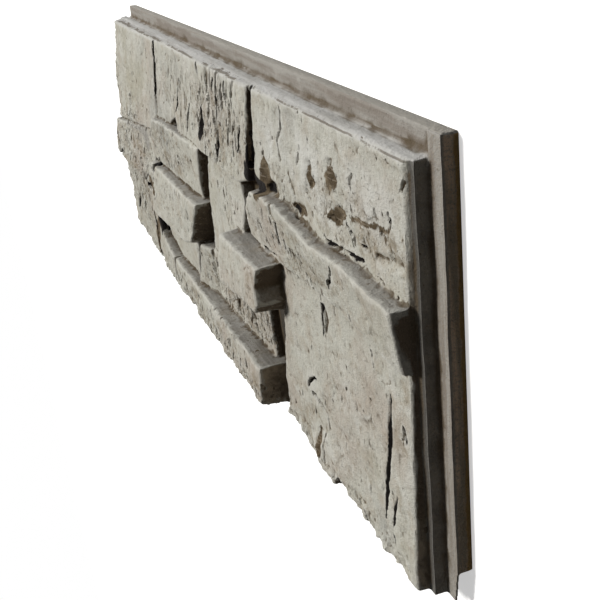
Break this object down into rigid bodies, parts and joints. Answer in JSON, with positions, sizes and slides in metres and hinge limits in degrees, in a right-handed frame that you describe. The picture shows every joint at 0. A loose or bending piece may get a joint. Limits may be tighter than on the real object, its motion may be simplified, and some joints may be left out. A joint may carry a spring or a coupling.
{
  "type": "faux stone wall panel",
  "caption": "Moulded wall panel with a dry-stacked stone face, a tongue along the top and one end, and matching rebates on the other two edges.",
  "frame": {"origin": "centre of the bounding box in plan, on the flat back", "axes": "+X along the length towards the end with the tongue, +Y towards the edge with the tongue, +Z out of the stone face"},
  "size_m": [1.248, 0.414, 0.0741],
  "materials": {
    "stone_panel": "moulded rigid foam, painted in matt greige limestone colours with brown in the hollows"
  },
  "bodies": {
    "root": {"stone_panel": "stone_panel"}
  },
  "joints": []
}
